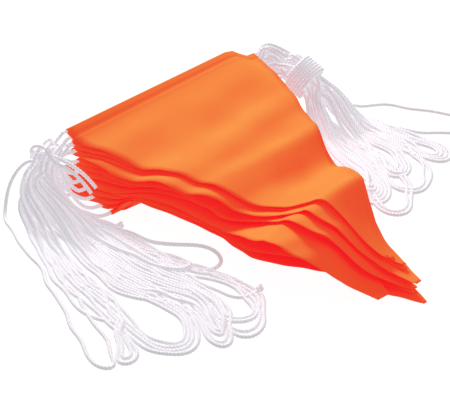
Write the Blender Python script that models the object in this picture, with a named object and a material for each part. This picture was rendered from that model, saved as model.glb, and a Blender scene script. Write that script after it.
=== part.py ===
"""A length of fabric bunting, packed away: twenty pennants stacked on one another and the
cord that joins them gathered into a tied hank at either side.

The pennants lie with their hems along X and their tips towards -Y.  Plan positions in the
tables are millimetres from the middle of the top pennant's hem; `placed` turns them into the
part's own metres, whose origin is under the middle of the stack.
"""
import math

import bmesh
import bpy
import numpy as np

MM = 0.001
STACK_CENTRE = (-2.2, -172.9)      # plan middle of the stack, from the top pennant's hem

# Pennants
SHEET = 1.0                        # thickness of a pennant's cloth
HEM_BEAD = 3.7                     # hem rolled round the cord that runs in it
HEM_BEAD_IN = 2.6                  # from the pennant's top edge to the bead's middle
BEAD_TURNS = (20, 60, 100, 140, 180, 220, 260, 300, 340)   # corners of the bead's section
HEM_END = 12.0                     # straight end of a hem before the side starts to slant
TIP = 6.0                          # width of the blunt tip
WIDE_TIP = (8, 15.0)               # one pennant's tip is folded back to a wider end
COLUMNS = (0.0, 0.3, 0.6, 0.86, 1.0)   # places of the points across a pennant
ROW_LINES = [0, 30, 58, 76, 92, 112, 132, 152, 170, 186, 202, 215, 225, 233, 240, 246, 252,
             259, 267, 278, 289, 300, 311, 328]   # shared rows, so that neighbours keep apart
ROW_APART = 5.0                    # least distance from a shared row to a pennant's own end rows
BEAD_TO_SHEET = 3.0                # from the bead's lower side to the sheet's first row

# Where each pennant lies, lowest first:
# left corner x, left corner y, right corner x, right corner y, tip x, tip y
PENNANTS = [
    (-118, -8, 108, -4, 3, -318),
    (-119, -60, 112, -30, -2, -332),
    (-123, -2, 105, 4, 4, -316),
    (-121, -50, 110, -24, -1, -349),
    (-125, -1, 103, 4, 6, -316),
    (-123, -42, 108, -20, 2, -334),
    (-127, -3, 101, 2, 4, -320),
    (-125, -34, 107, -16, 5, -332),
    (-124, -8, 104, -2, -25, -323),
    (-126, -27, 106, -13, 8, -322),
    (-125, -7, 106, 0, 8, -318),
    (-122, -22, 109, -13, 7, -322),
    (-118, -13, 112, -6, -4, -337),
    (-119, -18, 113, -11, 6, -322),
    (-115, -8, 114, -4, -1, -340),
    (-117, -13, 115, -9, 2, -322),
    (-114, -5, 115, -3, 3, -318),
    (-116, -10, 115, -8, 3, -320),
    (-113, -5, 119, -4, 0, -310),
    (-115, 0, 123, 0, -4, -308),
]
TOP = len(PENNANTS) - 1

# Heights of the sheets' mid-surfaces along the front edge: distance from the hem line, then the
# sheets named in GUIDES, then the top one at the far edge; the other sheets lie evenly between
GUIDES = (0, 8, 12, 14, 19)
HEIGHTS = [
    (0, 1.9, 29.3, 43.0, 49.9, 67.0, 81.0),
    (17, 1.8, 26.3, 38.6, 44.7, 60.0, 78.0),
    (45, 1.3, 24.8, 36.5, 42.3, 57.0, 73.0),
    (62, 1.0, 23.1, 34.2, 39.7, 53.5, 68.5),
    (69, 2.5, 23.4, 33.8, 39.8, 52.0, 67.0),
    (76, 5.5, 25.0, 34.5, 40.5, 51.0, 66.0),
    (83, 9.0, 27.5, 36.0, 41.5, 51.0, 66.0),
    (92, 12.5, 28.8, 37.3, 43.7, 52.5, 66.0),
    (101, 13.5, 28.8, 37.8, 44.5, 54.3, 65.5),
    (118, 13.0, 28.0, 38.5, 46.5, 56.3, 62.5),
    (137, 9.0, 25.0, 34.0, 41.5, 53.5, 60.5),
    (151, 6.0, 22.5, 32.5, 40.5, 55.0, 60.0),
    (165, 4.5, 22.5, 29.5, 36.5, 53.0, 53.0),
    (180, 3.0, 24.8, 31.0, 36.3, 47.3, 47.5),
    (190, 1.6, 28.5, 34.3, 38.3, 46.2, 47.5),
    (202, 0.5, 33.5, 38.5, 42.3, 47.8, 50.5),
    (213, 0.5, 39.5, 43.3, 47.0, 52.0, 54.5),
    (222, 0.5, 45.0, 48.5, 52.2, 56.0, 58.0),
    (229, 0.5, 49.5, 54.0, 56.5, 59.7, 61.0),
    (237, 0.5, 49.5, 57.0, 60.5, 64.2, 63.5),
    (245, 0.5, 48.5, 58.0, 63.0, 68.3, 66.2),
    (250, 0.5, 47.5, 57.5, 62.5, 69.2, 67.0),
    (256, 0.5, 45.0, 55.0, 60.5, 67.5, 64.0),
    (262, 0.5, 41.5, 52.5, 58.5, 64.5, 58.0),
    (270, 0.5, 35.0, 47.2, 53.5, 58.5, 48.5),
    (280, 0.5, 25.5, 38.5, 45.0, 50.0, 40.5),
    (292, 0.5, 16.5, 27.8, 36.0, 40.0, 35.0),
    (307, 0.5, 10.0, 17.8, 28.0, 31.5, 31.0),
    (325, 0.5, 6.0, 13.0, 21.0, 28.5, 29.0),
    (350, 0.5, 4.5, 11.5, 18.0, 28.5, 28.5),
]

# How far the same sheets' front edges stand out of their straight sides, on the same lines; a
# sheet between two of them keeps to the one that stands out less, and lies back in the middle
FRONT_OUT = [
    (0, 0.0, 0.0, 0.0, 0.0, 0.0),
    (30, 0.0, -0.3, -0.3, 6.0, 0.0),
    (62, 0.0, -1.0, -1.0, 11.0, 0.0),
    (101, 0.0, -5.0, -4.0, 11.0, 0.0),
    (137, 0.5, -8.0, -4.0, 11.0, 0.0),
    (151, 2.0, -7.0, -2.5, 9.0, 0.0),
    (165, 4.2, -4.0, 0.0, 6.5, 0.0),
    (180, 6.7, 2.5, 1.0, 4.8, 0.0),
    (190, 8.2, 5.5, 2.4, 4.2, 0.0),
    (202, 9.5, 9.5, 3.8, 3.9, 0.0),
    (213, 10.0, 14.5, 5.0, 3.9, 0.0),
    (222, 9.9, 20.0, 7.5, 4.6, 0.0),
    (229, 9.5, 24.0, 10.5, 5.4, 0.0),
    (237, 8.6, 27.0, 14.5, 6.8, 0.0),
    (245, 7.5, 30.0, 18.8, 8.6, 0.0),
    (256, 5.6, 32.2, 22.6, 11.0, 0.0),
    (262, 4.6, 32.4, 23.5, 11.2, 0.0),
    (270, 3.2, 31.4, 23.0, 9.4, 0.0),
    (280, 1.8, 27.5, 17.0, 5.7, 0.0),
    (292, 0.5, 17.0, 10.0, 1.0, 0.0),
    (307, 0.0, 4.5, 2.5, -1.5, 0.0),
    (325, 0.0, -1.0, -1.5, -1.5, 0.0),
    (350, 0.0, -1.0, -1.0, -1.0, 0.0),
]
# How far all far edges lie inside their straight sides, by the distance
FAR_IN = [(0, 0.0), (200, 0.0), (235, 3.0), (262, 5.5), (283, 6.5), (297, 4.5), (312, 1.5), (350, 0.0)]
LIE_BACK = 7.0
LIE_BACK_AT = 140.0
LIE_BACK_REACH = 150.0

LEAST_PITCH = 2.9                 # from one sheet's middle up to the next one's
HALF_WIDTH = 115.0                 # of the stack, at the hem line
STACK_LENGTH = 330.0
NARROWEST = 20.0
CREST_DRIFT = 36.0                 # how far the folds lie nearer the hem in the lowest sheets
CREST_DRIFT_FROM = 100.0
CREST_DRIFT_FULL = 200.0
CREST_SKEW = 10.0                  # how much nearer the hem the crest is at the far edge
CREST_SKEW_FROM = 180.0
CREST_SKEW_OVER = 50.0
BRIDGE_FROM = 150.0                # beyond this the sheets' far side lies like their front
BRIDGE_OVER = 50.0
DROOP_FROM_X = 85.0                # the far ends of the hems hang down from here
DROOP_REACH = 33.0
DROOP = 17.0
DROOP_LENGTH = 90.0

# Cord
CORD = 3.2
FLOOR_GAP = 0.3
LEAD_GAP = 0.9                     # between a hem's end and the hank's own solid
LEAD_CLEAR_X = 127.0               # the right-hand leads turn up beyond all hem ends
RISING_LEADS = 12                  # the left-hand leads of the pennants below this one rise to the tie
LEFT_RISE_X = -131.0               # where they rise
RIGHT_OVER_X = 131.0               # where the right-hand leads go over towards the tie
TRUNK_FATNESS = 1.25               # hank strands are thickened so that neighbours fuse
KNOT = 3.4                         # radius of the knot at a free end
STEP = 4.0                         # distance between the points of a strand
VOXEL = 1.15
HANK_TRIANGLES = 2560

# Sections of the gathered strands, from the tie towards the loops:
# outer x, outer y, inner x, inner y, lowest, highest
LEFT_SECTIONS = [
    (-180, -8, -146, -24, 16, 40),
    (-194, -42, -136, -58, 2, 25),
    (-211, -82, -128, -92, 0, 18),
    (-225, -124, -120, -130, 0, 13),
    (-231, -164, -113, -166, 0, 10),
]
RIGHT_SECTIONS = [
    (128, -66, 186, -67, 9, 38),
    (113, -100, 196, -94, 1, 25),
    (99, -137, 204, -124, 0, 16),
    (90, -172, 208, -156, 0, 12),
]
# Ties: middle x, y, z of the gathered strands, their radius, and their direction x, y, z
LEFT_TIE = (-144, -4, 47, 10.5, -0.95, -0.22, -0.20)
RIGHT_TIE = (157, -41, 42, 11.6, 0.25, -0.80, -0.50)
GOLDEN_TURN = 2.39996

# Loops: pennant below, place across and up the sections on the way out, sections passed,
# places on the way back, sections passed, and the points x, y, z of the loop's end
LEFT_LOOPS = [
    (1, (1.00, 0.6, 3), (0.72, 1.0, 3),
     [(-110, -129, 3), (-87, -157, 2), (-80, -174, 2), (-89, -188, 2), (-105, -191, 2),
      (-124, -172, 2), (-140, -130, 2), (-152, -95, 3), (-158, -72, 6), (-152, -66, 11),
      (-143, -80, 13), (-130, -116, 8), (-121, -146, 6), (-112, -170, 6), (-114, -178, 6),
      (-124, -176, 7), (-134, -158, 9)]),
    (3, (0.58, 0.1, 5), (0.97, 0.3, 5),
     [(-137, -215, 2), (-148, -250, 2), (-150, -272, 2), (-142, -283, 2), (-128, -280, 2),
      (-111, -266, 2), (-100, -246, 2), (-98, -223, 3), (-102, -200, 4)]),
    (5, (0.42, 0.2, 5), (0.86, 0.8, 5),
     [(-158, -214, 2), (-163, -245, 2), (-169, -266, 2), (-166, -281, 2), (-154, -274, 2),
      (-141, -254, 4), (-130, -228, 6)]),
    (7, (0.20, 0.5, 5), (0.62, 0.9, 5),
     [(-212, -190, 2), (-216, -220, 2), (-213, -244, 2), (-204, -260, 2), (-192, -265, 2),
      (-176, -257, 2), (-163, -238, 3), (-156, -216, 5)]),
    (9, (0.00, 0.3, 4), (0.14, 0.2, 4),
     [(-239, -167, 2), (-255, -211, 2), (-258, -230, 2), (-249, -241, 2), (-238, -222, 2),
      (-226, -185, 3)]),
    (11, (0.30, 0.1, 5), (0.08, 0.7, 5),
     [(-208, -192, 4), (-226, -217, 5), (-243, -238, 5), (-236, -245, 2), (-225, -239, 2),
      (-219, -226, 3), (-213, -200, 5)]),
    (13, (0.25, 0.9, 5), (0.52, 0.6, 5),
     [(-204, -195, 7), (-209, -222, 6), (-206, -242, 6), (-198, -254, 6), (-188, -258, 6),
      (-175, -249, 6), (-166, -234, 6), (-161, -216, 8)]),
    (15, (0.66, 0.4, 5), (0.92, 0.7, 5),
     [(-131, -212, 5), (-140, -236, 4), (-143, -254, 2), (-134, -264, 2), (-120, -268, 4),
      (-107, -258, 5), (-101, -241, 6), (-101, -221, 6), (-106, -203, 6)]),
    (17, (0.48, 1.0, 5), (0.80, 0.4, 5),
     [(-150, -212, 9), (-155, -240, 6), (-161, -262, 5), (-156, -270, 5), (-146, -255, 7),
      (-135, -230, 9)]),
]
WIDE_LOOP = 9                      # this strand swings out round the tie before it joins the rest
WIDE_SWING = [(-152, -2, 45), (-167, 8, 38), (-188, 0, 20), (-203, -24, 9), (-209, -52, 5)]
WIDE_JOINS = 2
# The strands that run a second time from the tie to their loop and back, by the pennant below
LEFT_TWICE = (3, 5, 7, 11, 13, 15, 17)
RIGHT_TWICE = (0, 2, 4, 6, 8, 12, 14, 16, 18)
SECOND_INSET = 4.5                 # the second turn lies this far inside the first
SECOND_LIFT = 2.5
SECOND_ACROSS = 0.06
SECOND_UP = 0.3
FOLD_OUT = 9.0                    # how far the folds between two turns stand out of the tie
FOLD_RADIUS = 6.5
LEFT_STRAIGHT = 4.0                # how far from its middle a strand runs straight in a tie
RIGHT_STRAIGHT = 10.0
# Free ends: pennant, place across and up the sections, sections passed, and the last points
FREE_ENDS = [
    (19, (0.98, 0.95, 2), [(-133, -78, 16), (-129, -83, 14), (-123, -87, 12)]),
    (0, (0.90, 0.20, 5), [(-120, -210, 3), (-117, -231, 2), (-106, -242, 2), (-93, -240, 3)]),
]
RIGHT_LOOPS = [
    (0, (0.24, 0.3, 4), (0.14, 0.4, 4),
     [(110, -196, 2), (100, -205, 2), (90, -208, 2), (86, -201, 2), (92, -186, 2)]),
    (2, (0.50, 0.1, 4), (0.10, 0.1, 4),
     [(138, -196, 2), (130, -213, 2), (120, -227, 2), (104, -239, 2), (88, -244, 2),
      (79, -236, 2), (80, -218, 2), (88, -200, 2)]),
    (4, (0.90, 0.2, 4), (0.74, 0.1, 4),
     [(208, -170, 2), (210, -190, 2), (203, -204, 2), (191, -208, 2), (181, -196, 2),
      (178, -178, 3)]),
    (6, (0.66, 0.4, 4), (0.42, 0.6, 3),
     [(158, -176, 3), (150, -188, 3), (141, -193, 3), (134, -187, 3), (135, -174, 4)]),
    (8, (0.80, 1.0, 4), (0.36, 0.3, 4),
     [(178, -178, 10), (171, -198, 6), (158, -215, 3), (142, -227, 2), (129, -227, 2),
      (119, -216, 2), (116, -200, 3)]),
    (10, (1.00, 1.0, 1), (0.95, 0.6, 3),
     [(196, -72, 22), (213, -77, 12), (234, -93, 5), (250, -121, 2), (264, -147, 2),
      (273, -172, 2), (271, -190, 2), (257, -193, 2), (241, -180, 2), (226, -163, 2),
      (212, -150, 3)]),
    (12, (0.86, 0.8, 4), (0.80, 0.5, 4),
     [(203, -172, 6), (206, -186, 6), (199, -197, 6), (189, -200, 6), (184, -192, 6),
      (184, -178, 7)]),
    (14, (0.70, 0.9, 4), (0.52, 0.9, 3),
     [(164, -178, 8), (152, -194, 6), (140, -199, 6), (130, -194, 6), (132, -178, 7)]),
    (16, (0.30, 0.8, 4), (0.06, 0.7, 4),
     [(114, -198, 6), (102, -212, 5), (88, -218, 5), (80, -211, 5), (85, -196, 5)]),
    (18, (0.20, 0.95, 4), (0.16, 0.95, 4),
     [(106, -190, 8), (97, -200, 8), (90, -198, 8), (92, -188, 8)]),
]

# Ties
TIE_CLEAR = 3.4                    # from the gathered strands' middle lines to the tie's cord
TIE_RING_POINTS = 13
TIE_TURN = (112.0, -205.0)         # degrees round the strands, from the first tail to the second
TAIL_A = [(-145, -16, 59), (-142, -24, 57), (-136, -31, 52), (-130, -36, 46), (-125, -41, 39),
          (-122, -47, 33), (-121, -52, 29)]
TAIL_B = [(-146, -26, 54), (-138, -33, 48), (-133, -40, 41), (-130, -47, 34), (-129, -55, 28)]
# The second tail goes over the first: turn in degrees, out from the ring, along the strands
TIE_CROSSING = [(140, 1.5, 1.0), (124, 4.2, 0.0), (113, 6.8, 0.6), (116, 8.4, 3.6), (130, 7.4, 6.0)]
WRAP_TURNS = 7
WRAP_PITCH = 3.6
WRAP_CLEAR = 4.9                   # from the gathered strands' middle lines to the wrap
WRAP_SIDES = 24

ORANGE = (0.93, 0.22, 0.045, 1.0)
WHITE = (0.84, 0.82, 0.85, 1.0)


def placed(points):
    """Table millimetres to the part's metres."""
    shift = np.array([STACK_CENTRE[0], STACK_CENTRE[1], 0.0])
    return (np.asarray(points, float) - shift) * MM


def material(name, colour, roughness):
    made = bpy.data.materials.new(name)
    made.use_nodes = True
    shader = made.node_tree.nodes["Principled BSDF"]
    shader.inputs["Base Color"].default_value = colour
    shader.inputs["Roughness"].default_value = roughness
    shader.inputs["Metallic"].default_value = 0.0
    made.diffuse_color = colour
    return made


def eased(value):
    held = np.clip(value, 0.0, 1.0)
    return held * held * (3.0 - 2.0 * held)


def hump(value):
    """One smooth rise and fall between -1 and 1."""
    held = np.clip(np.abs(value), 0.0, 1.0)
    return np.cos(math.pi / 2.0 * held) ** 2


def through_rows(rows, column, at):
    """A smooth curve through one column of a table whose first column is the position."""
    where = np.array([row[0] for row in rows], float)
    value = np.array([row[column] for row in rows], float)
    slope = np.gradient(value, where)
    held = np.clip(at, where[0], where[-1])
    i = np.clip(np.searchsorted(where, held, side="right") - 1, 0, len(where) - 2)
    gap = where[i + 1] - where[i]
    t = (held - where[i]) / gap
    start = (1.0 + 2.0 * t) * (1.0 - t) ** 2
    leave = t * (1.0 - t) ** 2 * gap
    end = t * t * (3.0 - 2.0 * t)
    arrive = t * t * (t - 1.0) * gap
    return start * value[i] + leave * slope[i] + end * value[i + 1] + arrive * slope[i + 1]


def guide_heights(x, y):
    """Heights of the GUIDES' sheets over plan points, top sheet first, each clear of the next."""
    half = np.maximum(HALF_WIDTH * (1.0 + y / STACK_LENGTH), NARROWEST)
    across = np.clip((x / half + 1.0) / 2.0, -0.8, 1.2)
    droop = eased((x - DROOP_FROM_X) / DROOP_REACH) * (1.0 - eased(-y / DROOP_LENGTH))
    drifted = eased((-y - CREST_DRIFT_FROM) / (CREST_DRIFT_FULL - CREST_DRIFT_FROM))
    distance = CREST_SKEW * across * eased((-y - CREST_SKEW_FROM) / CREST_SKEW_OVER) - y
    bridged = eased((-y - BRIDGE_FROM) / BRIDGE_OVER)
    front_top = through_rows(HEIGHTS, len(GUIDES), distance)
    far_top = through_rows(HEIGHTS, len(GUIDES) + 1, distance)
    found = []
    for column in range(len(GUIDES), 0, -1):
        guide = GUIDES[column - 1]
        level = guide / TOP
        front = through_rows(HEIGHTS, column, distance)
        shifted = distance + CREST_DRIFT * (1.0 - level) * drifted
        far = SHEET / 2.0 + (through_rows(HEIGHTS, len(GUIDES) + 1, shifted) - SHEET / 2.0) * level
        far = far + (front + far_top - front_top - far) * bridged
        height = front + (far - front) * across - DROOP * droop * level
        if found:
            pitch = np.minimum(LEAST_PITCH, (found[0] - SHEET / 2.0) / TOP)
            highest = found[-1] - (GUIDES[column] - guide) * pitch
            height = np.clip(height, SHEET / 2.0 + guide * pitch, highest)
        found.append(height)
    return found


def sheet_height(number, x, y):
    """Height of the mid-surface of a pennant's sheet over a plan point."""
    guides = guide_heights(np.asarray(x, float), np.asarray(y, float))[::-1]
    after = int(np.clip(np.searchsorted(GUIDES, number, side="right"), 1, len(GUIDES) - 1))
    step = (number - GUIDES[after - 1]) / (GUIDES[after] - GUIDES[after - 1])
    return guides[after - 1] + (guides[after] - guides[after - 1]) * step


def level_of(number):
    return number / TOP


def side_x(corner, tip_x, tip_y, y):
    """Where a slanting side of a pennant is at a row."""
    start = corner[1] - HEM_END
    return corner[0] + (tip_x - corner[0]) * np.clip((start - y) / (start - tip_y), 0.0, 1.0)


def stands_out(number, distance):
    """How far the front edge of a pennant stands out of its straight side at a distance."""
    after = int(np.clip(np.searchsorted(GUIDES, number, side="right"), 1, len(GUIDES) - 1))
    lower = through_rows(FRONT_OUT, after, distance)
    upper = through_rows(FRONT_OUT, after + 1, distance)
    if number in GUIDES:
        return lower if number == GUIDES[after - 1] else upper
    return np.minimum(lower, upper) - LIE_BACK * hump((distance - LIE_BACK_AT) / LIE_BACK_REACH)


def sides(number, y):
    """Front and far side of a pennant at a row, with the places where its front stands out."""
    left_x, left_y, right_x, right_y, tip_x, tip_y = PENNANTS[number]
    tip = WIDE_TIP[1] if number == WIDE_TIP[0] else TIP
    left = side_x((left_x, left_y), tip_x - tip / 2.0, tip_y, y)
    right = side_x((right_x, right_y), tip_x + tip / 2.0, tip_y, y)
    return left - stands_out(number, -y), right - through_rows(FAR_IN, 1, -y)


def pennant(number, colour):
    """A sheet with a bead along its top edge, as one section swept from side to side."""
    left_x, left_y, right_x, right_y, _, tip_y = PENNANTS[number]
    across = np.array(COLUMNS)
    edge = left_y + (right_y - left_y) * across
    first = edge - 2.0 * HEM_BEAD_IN - BEAD_TO_SHEET
    rows = [-line for line in ROW_LINES if tip_y + ROW_APART < -line < first.min() - ROW_APART]
    rows_y = [first] + [np.full(len(COLUMNS), row) for row in rows]
    rows_y.append(np.full(len(COLUMNS), tip_y))
    middle = []
    for row_y in rows_y:
        left, right = sides(number, row_y)
        x = left + (right - left) * across
        z = sheet_height(number, x, row_y)
        middle.append(np.stack([x, row_y, z], 1))
    middle = np.array(middle)
    slope = np.gradient(middle[:, :, 2], axis=0) / np.gradient(middle[:, :, 1], axis=0)
    half = SHEET / 2.0 * np.sqrt(1.0 + slope ** 2)
    upper, lower = middle.copy(), middle.copy()
    upper[:, :, 2] += half
    lower[:, :, 2] -= half
    bead_x = left_x + (right_x - left_x) * across
    bead = []
    for angle in np.radians(BEAD_TURNS):
        y = edge - HEM_BEAD_IN - HEM_BEAD / 2.0 * math.cos(angle)
        core = sheet_height(number, bead_x, edge - HEM_BEAD_IN)
        bead.append(np.stack([bead_x, y, core + HEM_BEAD / 2.0 * math.sin(angle)], 1))
    section = np.concatenate([upper[::-1], np.array(bead), lower])
    return swept_sheet("pennant_%02d" % (number + 1), section, colour)


def swept_sheet(name, section, colour):
    """A closed body from section points (around, across): walls between columns, and two ends."""
    around, columns = section.shape[:2]
    body = bmesh.new()
    grid = [[body.verts.new(placed(section[i, j])) for j in range(columns)] for i in range(around)]
    for i in range(around):
        after = (i + 1) % around
        for j in range(columns - 1):
            body.faces.new([grid[i][j], grid[i][j + 1], grid[after][j + 1], grid[after][j]])
    sheet_rows = (around - len(BEAD_TURNS)) // 2
    for j in (0, columns - 1):
        for i in range(sheet_rows - 1):
            low = around - 1 - i
            body.faces.new([grid[i][j], grid[i + 1][j], grid[low - 1][j], grid[low][j]])
        ring = [grid[i][j] for i in range(sheet_rows - 1, around - sheet_rows + 1)]
        body.faces.new(ring)
    bmesh.ops.triangulate(body, faces=body.faces[:], ngon_method="EAR_CLIP")
    bmesh.ops.recalc_face_normals(body, faces=body.faces[:])
    return finished(name, body, colour)


def finished(name, body, colour, smooth=False):
    mesh = bpy.data.meshes.new(name)
    body.to_mesh(mesh)
    body.free()
    made = bpy.data.objects.new(name, mesh)
    bpy.context.collection.objects.link(made)
    mesh.materials.append(colour)
    for face in mesh.polygons:
        face.use_smooth = smooth
    return made


def smooth_route(points, step=STEP):
    """A curve through the points (centripetal Catmull-Rom), as evenly spaced points."""
    known = np.array(points, float)
    known = np.vstack([2 * known[0] - known[1], known, 2 * known[-1] - known[-2]])
    knot = np.concatenate([[0.0], np.cumsum(np.linalg.norm(np.diff(known, axis=0), axis=1) ** 0.5)])
    fine = []
    for i in range(1, len(known) - 2):
        t0, t1, t2, t3 = knot[i - 1:i + 3]
        p0, p1, p2, p3 = known[i - 1:i + 3]
        t = np.linspace(t1, t2, 40, endpoint=False)[:, None]
        a1 = (t1 - t) / (t1 - t0) * p0 + (t - t0) / (t1 - t0) * p1
        a2 = (t2 - t) / (t2 - t1) * p1 + (t - t1) / (t2 - t1) * p2
        a3 = (t3 - t) / (t3 - t2) * p2 + (t - t2) / (t3 - t2) * p3
        b1 = (t2 - t) / (t2 - t0) * a1 + (t - t0) / (t2 - t0) * a2
        b2 = (t3 - t) / (t3 - t1) * a2 + (t - t1) / (t3 - t1) * a3
        fine.append((t2 - t) / (t2 - t1) * b1 + (t - t1) / (t2 - t1) * b2)
    fine = np.vstack(fine + [known[-2:-1]])
    along = np.concatenate([[0.0], np.cumsum(np.linalg.norm(np.diff(fine, axis=0), axis=1))])
    count = max(int(round(along[-1] / step)), 4)
    even = np.linspace(0.0, along[-1], count + 1)
    return np.stack([np.interp(even, along, fine[:, axis]) for axis in range(3)], 1)


def in_section(section, place):
    """A strand's point in a section of the gathered strands, from its place across and up."""
    outer_x, outer_y, inner_x, inner_y, lowest, highest = section
    across, up = place[:2]
    crown = 0.25 + 0.75 * math.sqrt(max(1.0 - (2.0 * across - 1.0) ** 2, 0.0))
    z = lowest + CORD / 2.0 + up * max((highest - lowest - CORD) * crown, 0.0)
    return (outer_x + (inner_x - outer_x) * across, outer_y + (inner_y - outer_y) * across, z)


def tie_axes(tie):
    along = np.array(tie[4:7], float)
    along /= np.linalg.norm(along)
    side = np.cross(along, (0.0, 0.0, 1.0))
    side /= np.linalg.norm(side)
    return along, side, np.cross(side, along)


def in_tie(tie, place, count):
    """Two points of a strand as it passes straight through the tie."""
    along, side, up = tie_axes(tie)
    before = LEFT_STRAIGHT if tie is LEFT_TIE else RIGHT_STRAIGHT
    reach = tie[3] * math.sqrt((place + 0.5) / count)
    turn = place * GOLDEN_TURN
    middle = np.array(tie[:3], float) + reach * (math.cos(turn) * side + math.sin(turn) * up)
    return [tuple(middle - along * before), tuple(middle + along * before)]


def fold_at_tie(tie, place, after, count):
    """The fold of a strand that comes out of the tie, turns and goes through it again."""
    along = tie_axes(tie)[0]
    come = np.array(in_tie(tie, place, count)[0])
    leave = np.array(in_tie(tie, after, count)[0])
    apart = np.linalg.norm(leave - come)
    aside = (leave - come) / apart * max(apart / 2.0, FOLD_RADIUS)
    middle = (come + leave) / 2.0 - along * FOLD_OUT
    return [tuple(middle - aside), tuple(middle - along * FOLD_RADIUS), tuple(middle + aside)]


def second_turn(out, back, end):
    """A loop's places and end points for its second turn, inside and on top of the first."""
    inward = SECOND_ACROSS if back[0] > out[0] else -SECOND_ACROSS
    out = (out[0] + inward, min(out[1] + SECOND_UP, 1.0), out[2])
    back = (back[0] - inward, min(back[1] + SECOND_UP, 1.0), back[2])
    points = np.array(end, float)
    middle = points[:, :2].mean(axis=0)
    away = points[:, :2] - middle
    far = np.linalg.norm(away, axis=1, keepdims=True)
    points[:, :2] = middle + away * np.maximum(1.0 - SECOND_INSET / far, 0.3)
    points[:, 2] += SECOND_LIFT
    return out, back, [tuple(point) for point in points]


def left_lead(number):
    """From the left end of a pennant's hem towards the left tie."""
    x, y = PENNANTS[number][0], PENNANTS[number][1] - HEM_BEAD_IN
    z = float(sheet_height(number, x, y))
    points = [(x - LEAD_GAP, y, z), (x - 4.0, y - 0.5, z + 0.5)]
    if number < RISING_LEADS:
        points.append((LEFT_RISE_X - 0.5 * (number % 3), 0.45 * y - 3.0, 0.75 * z + 12.0))
    return points


def right_lead(number):
    """From the right end of a pennant's hem, up and over towards the right tie."""
    x, y = PENNANTS[number][2], PENNANTS[number][3] - HEM_BEAD_IN
    z = float(sheet_height(number, x, y))
    level = level_of(number)
    over = (RIGHT_OVER_X + 4.0 * (number % 3), -1.0 - 14.0 * (1.0 - level), 41.0 + 31.0 * level)
    return [(x + LEAD_GAP, y, z), (max(x + 8.0, LEAD_CLEAR_X), y, z + 1.5 * level), over]


def strand_routes(tie, sections, loops, twice, lead, free_ends, order):
    """Middle lines of all strands of a hank: pennant, tie, sections, loop and back again."""
    count = len(order)
    places = iter(order)
    routes = []
    for number, out, back, end in loops:
        way = lead(number) + in_tie(tie, next(places), count)
        if lead is left_lead and number == WIDE_LOOP:
            way += WIDE_SWING + [in_section(section, out) for section in sections[WIDE_JOINS:out[2]]]
        else:
            way += [in_section(section, out) for section in sections[:out[2]]]
        way += end + [in_section(section, back) for section in sections[:back[2]]][::-1]
        place = next(places)
        way += in_tie(tie, place, count)[::-1]
        if number in twice:
            after = next(places)
            out, back, end = second_turn(out, back, end)
            way += fold_at_tie(tie, place, after, count) + in_tie(tie, after, count)
            way += [in_section(section, out) for section in sections[:out[2]]]
            way += end + [in_section(section, back) for section in sections[:back[2]]][::-1]
            way += in_tie(tie, next(places), count)[::-1]
        routes.append(smooth_route(way + lead(number + 1)[::-1]))
    for number, out, end in free_ends:
        way = lead(number) + in_tie(tie, next(places), count)
        way += [in_section(section, out) for section in sections[:out[2]]]
        routes.append(smooth_route(way + end))
    return routes


def curve_tube(name, points, radius, colour, sides=2):
    """A round tube along the points, as a curve with filled ends."""
    line = bpy.data.curves.new(name, "CURVE")
    line.dimensions = "3D"
    line.bevel_depth = radius * MM
    line.bevel_resolution = sides
    line.use_fill_caps = True
    spline = line.splines.new("POLY")
    spline.points.add(len(points) - 1)
    for point, place in zip(spline.points, placed(points)):
        point.co = (*place, 1.0)
    line.materials.append(colour)
    made = bpy.data.objects.new(name, line)
    bpy.context.collection.objects.link(made)
    return made


def hank(name, routes, knots, colour):
    """All strands fused into one body that keeps their bundles, twists and end loops."""
    gathered = bmesh.new()
    radius = CORD / 2.0 * TRUNK_FATNESS
    for points in routes:
        raised = points.copy()
        raised[:, 2] = np.maximum(raised[:, 2], radius + FLOOR_GAP)
        tube = curve_tube("strand", raised, radius, colour)
        shape = tube.to_mesh()
        gathered.from_mesh(shape)
        tube.to_mesh_clear()
        bpy.data.objects.remove(tube)
    for place in knots:
        made = bmesh.ops.create_icosphere(gathered, subdivisions=2, radius=KNOT * MM)
        bmesh.ops.translate(gathered, verts=made["verts"], vec=placed(place))
    body = finished(name, gathered, colour)
    fuse = body.modifiers.new("fuse", "REMESH")
    fuse.mode = "VOXEL"
    fuse.voxel_size = VOXEL * MM
    return outer_skin(body, colour)


def outer_skin(body, colour):
    """The largest shell of the fused strands, thinned to its share of triangles."""
    seen = body.evaluated_get(bpy.context.evaluated_depsgraph_get())
    skin = bmesh.new()
    skin.from_mesh(seen.to_mesh())
    seen.to_mesh_clear()
    name = body.name
    bpy.data.objects.remove(body)
    keep = max(shells(skin), key=len)
    spare = [vert for vert in skin.verts if vert not in keep]
    bmesh.ops.delete(skin, geom=spare, context="VERTS")
    bmesh.ops.triangulate(skin, faces=skin.faces[:])
    triangles = len(skin.faces)
    made = finished(name, skin, colour, smooth=True)
    thin = made.modifiers.new("thin", "DECIMATE")
    thin.ratio = HANK_TRIANGLES / triangles
    return made


def shells(body):
    """The separate connected shells of a mesh, each a set of its vertices."""
    left = set(body.verts)
    found = []
    while left:
        start = left.pop()
        shell = {start}
        edge = [start]
        while edge:
            for link in edge.pop().link_edges:
                for vert in link.verts:
                    if vert in left:
                        left.remove(vert)
                        shell.add(vert)
                        edge.append(vert)
        found.append(shell)
    return found


def round_tie(tie, turn, reach, step):
    """A point round a tie: turn in degrees, distance from its middle, step along the strands."""
    along, side, up = tie_axes(tie)
    angle = math.radians(turn)
    out = math.cos(angle) * side + math.sin(angle) * up
    return tuple(np.array(tie[:3], float) + reach * out + step * along)


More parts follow.
